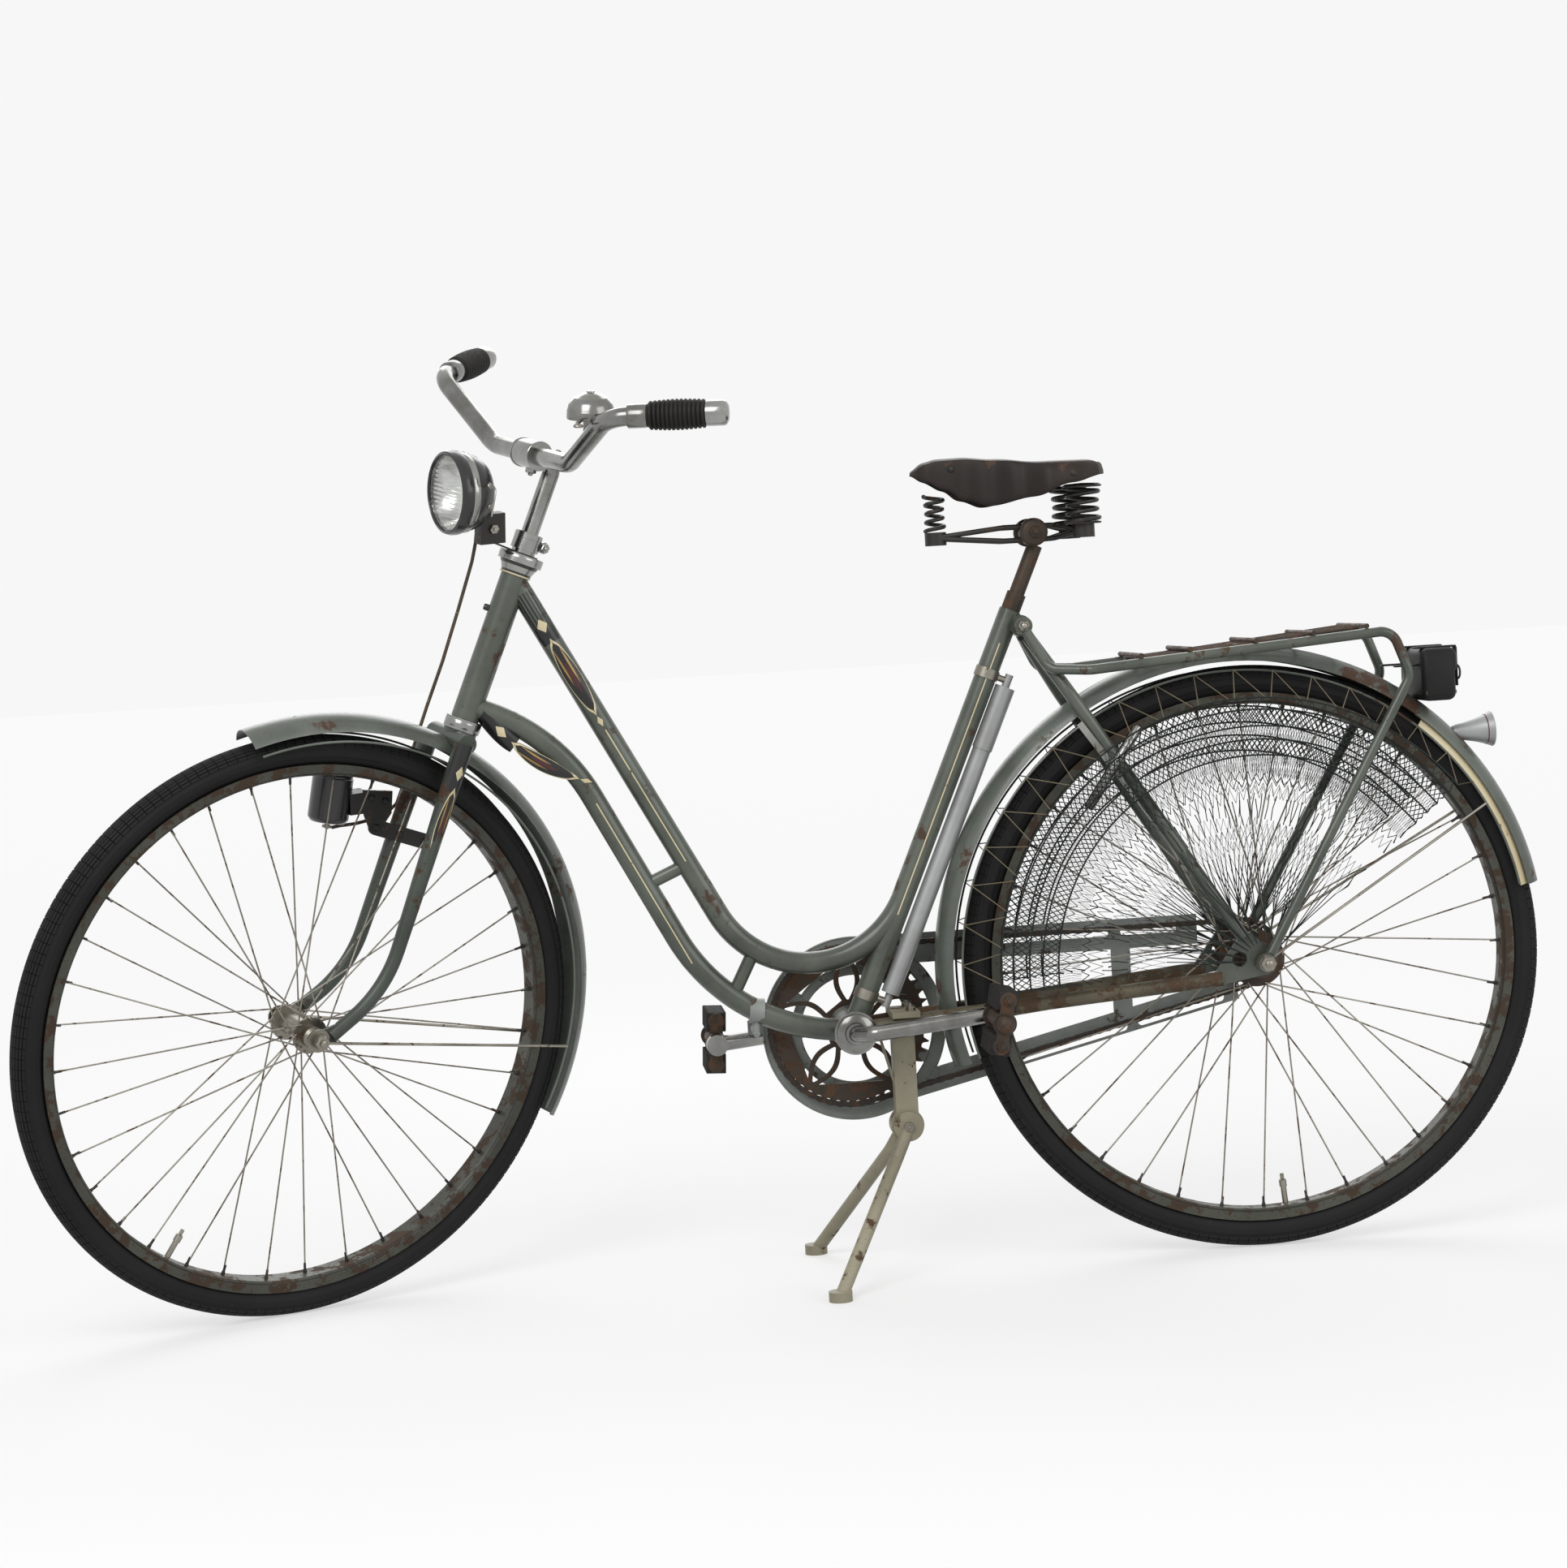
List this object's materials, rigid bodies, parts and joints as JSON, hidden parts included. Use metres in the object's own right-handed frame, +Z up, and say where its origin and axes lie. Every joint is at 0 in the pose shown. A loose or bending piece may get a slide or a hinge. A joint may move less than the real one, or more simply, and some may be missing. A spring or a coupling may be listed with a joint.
{
  "type": "step-through roadster bicycle",
  "caption": "Rusty step-through roadster bicycle with curved twin frame tubes, fenders, skirt nets, rear rack and dynamo lamp, parked on its centre stand.",
  "frame": {"origin": "where the rear tyre meets the floor", "axes": "+X forward, +Y to the rider's left, +Z up"},
  "size_m": [1.836, 0.5272, 1.1619],
  "materials": {
    "enamel": "weathered grey-green enamel, chipped and rusty",
    "bright_steel": "worn chrome plate with rust spots",
    "rusty_steel": "bare steel, browned with rust",
    "stand_grey": "weathered beige-grey paint",
    "guard_grey": "dull grey paint",
    "black_paint": "black enamel, scuffed",
    "tyre": "old black rubber",
    "rubber": "hard weathered rubber",
    "leather": "dark brown saddle leather",
    "black_leather": "black grained leather",
    "net": "crocheted dark cord",
    "wire": "braided brown cable"
  },
  "bodies": {
    "frame": {"head_tube": "enamel", "headset_cups": "bright_steel", "upper_tube": "enamel", "lower_tube": "enamel", "cross_struts": "enamel", "seat_tube": "enamel", "bottom_bracket": "enamel", "bearing_cups": "bright_steel", "chain_stays": "enamel", "seat_stays": "enamel", "rear_dropouts": "enamel", "rear_axle": "bright_steel", "seat_post": "rusty_steel", "saddle_leather": "leather", "saddle_frame": "rusty_steel", "saddle_springs": "rusty_steel", "rack_frame": "enamel", "rack_rods": "rusty_steel", "tool_bag": "black_leather", "tail_lamp": "bright_steel", "rear_fender": "enamel", "rear_fender_stays": "bright_steel", "skirt_guard_left": "net", "skirt_guard_right": "net", "chain_guard": "guard_grey", "chain": "rusty_steel", "pump": "bright_steel", "pump_clips": "bright_steel", "stand_bracket": "stand_grey", "frame_lock": "bright_steel"},
    "fork": {"fork": "enamel", "front_axle": "bright_steel", "front_fender": "enamel", "front_fender_stays": "bright_steel", "stem": "bright_steel", "handlebar": "bright_steel", "grips": "rubber", "bell": "bright_steel", "headlamp": "black_paint", "lamp_bracket": "black_paint", "dynamo": "black_paint", "dynamo_bracket": "black_paint", "lamp_wire": "wire"},
    "front_wheel": {"front_tyre": "tyre", "front_rim": "enamel", "front_spokes": "bright_steel", "front_hub": "bright_steel"},
    "rear_wheel": {"rear_tyre": "tyre", "rear_rim": "enamel", "rear_spokes": "bright_steel", "rear_hub": "rusty_steel"},
    "crankset": {"crank": "bright_steel", "chainring": "rusty_steel"},
    "left_pedal": {"pedal_left": "rusty_steel", "pedal_left_rubbers": "rubber"},
    "right_pedal": {"pedal_right": "rusty_steel", "pedal_right_rubbers": "rubber"},
    "stand": {"stand_legs": "stand_grey"}
  },
  "joints": [
    {"name": "steering", "type": "hinge", "parent": "frame", "child": "fork", "pos_m": [0.92293, 0, 0.74], "axis": [-0.3875, 0, 0.9219], "range_deg": [-89.3, 30.7]},
    {"name": "front_wheel_spin", "type": "hinge", "parent": "fork", "child": "front_wheel", "pos_m": [1.15654, 0.03602, 0.34989], "axis": [-0.4511, 0.8721, -0.1896], "continuous": true},
    {"name": "rear_wheel_spin", "type": "hinge", "parent": "frame", "child": "rear_wheel", "pos_m": [0, 0, 0.356], "axis": [0, 1, 0], "continuous": true},
    {"name": "crank_spin", "type": "hinge", "parent": "frame", "child": "crankset", "pos_m": [0.494, 0, 0.299], "axis": [0, 1, 0], "continuous": true},
    {"name": "left_pedal_spin", "type": "hinge", "parent": "crankset", "child": "left_pedal", "pos_m": [0.33289, 0.132, 0.31593], "axis": [0, 1, 0], "continuous": true},
    {"name": "right_pedal_spin", "type": "hinge", "parent": "crankset", "child": "right_pedal", "pos_m": [0.65511, -0.132, 0.28207], "axis": [0, 1, 0], "continuous": true},
    {"name": "stand_fold", "type": "hinge", "parent": "frame", "child": "stand", "pos_m": [0.435, 0, 0.18], "axis": [0, 1, 0], "range_deg": [0, 110]}
  ]
}
